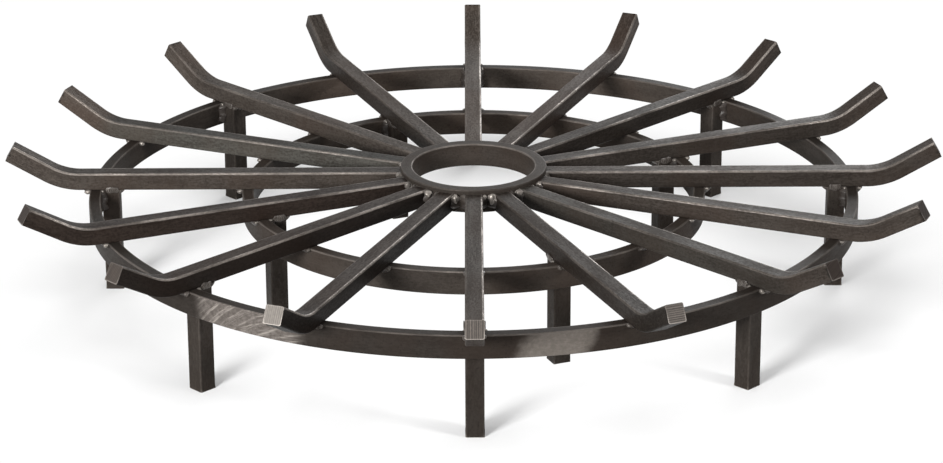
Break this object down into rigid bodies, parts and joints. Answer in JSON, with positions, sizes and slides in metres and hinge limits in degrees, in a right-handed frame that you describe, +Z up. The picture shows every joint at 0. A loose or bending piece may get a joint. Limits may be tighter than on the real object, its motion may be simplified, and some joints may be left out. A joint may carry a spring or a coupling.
{
  "type": "log grate",
  "caption": "Round spoked log grate of welded steel bar: spokes run from an open hub over support rings and bend up at their ends, on short bar legs.",
  "frame": {"origin": "on the floor at the centre of the grate, under the hub, level with the undersides of the feet", "axes": "+Z up along the hub's axis; +X out along spoke_01, which stands over an outer leg"},
  "size_m": [1.0162, 1.0162, 0.166],
  "materials": {
    "dark_steel": "dark clear-coated steel bar with brown tones, faint lengthwise grain and lighter rubbed edges",
    "weld_steel": "as-welded rippled bead, dark with bright spots"
  },
  "bodies": {
    "root": {"hub_ring": "dark_steel", "inner_ring": "dark_steel", "outer_ring": "dark_steel", "spoke_01": "dark_steel", "spoke_02": "dark_steel", "spoke_03": "dark_steel", "spoke_04": "dark_steel", "spoke_05": "dark_steel", "spoke_06": "dark_steel", "spoke_07": "dark_steel", "spoke_08": "dark_steel", "spoke_09": "dark_steel", "spoke_10": "dark_steel", "spoke_11": "dark_steel", "spoke_12": "dark_steel", "spoke_13": "dark_steel", "spoke_14": "dark_steel", "spoke_15": "dark_steel", "spoke_16": "dark_steel", "outer_leg_1": "dark_steel", "outer_leg_2": "dark_steel", "outer_leg_3": "dark_steel", "outer_leg_4": "dark_steel", "outer_leg_5": "dark_steel", "outer_leg_6": "dark_steel", "outer_leg_7": "dark_steel", "outer_leg_8": "dark_steel", "inner_leg_1": "dark_steel", "inner_leg_2": "dark_steel", "inner_leg_3": "dark_steel", "inner_leg_4": "dark_steel", "hub_welds": "weld_steel", "inner_ring_welds": "weld_steel", "outer_ring_welds": "weld_steel", "inner_leg_welds": "weld_steel", "outer_leg_welds": "weld_steel"}
  },
  "joints": []
}
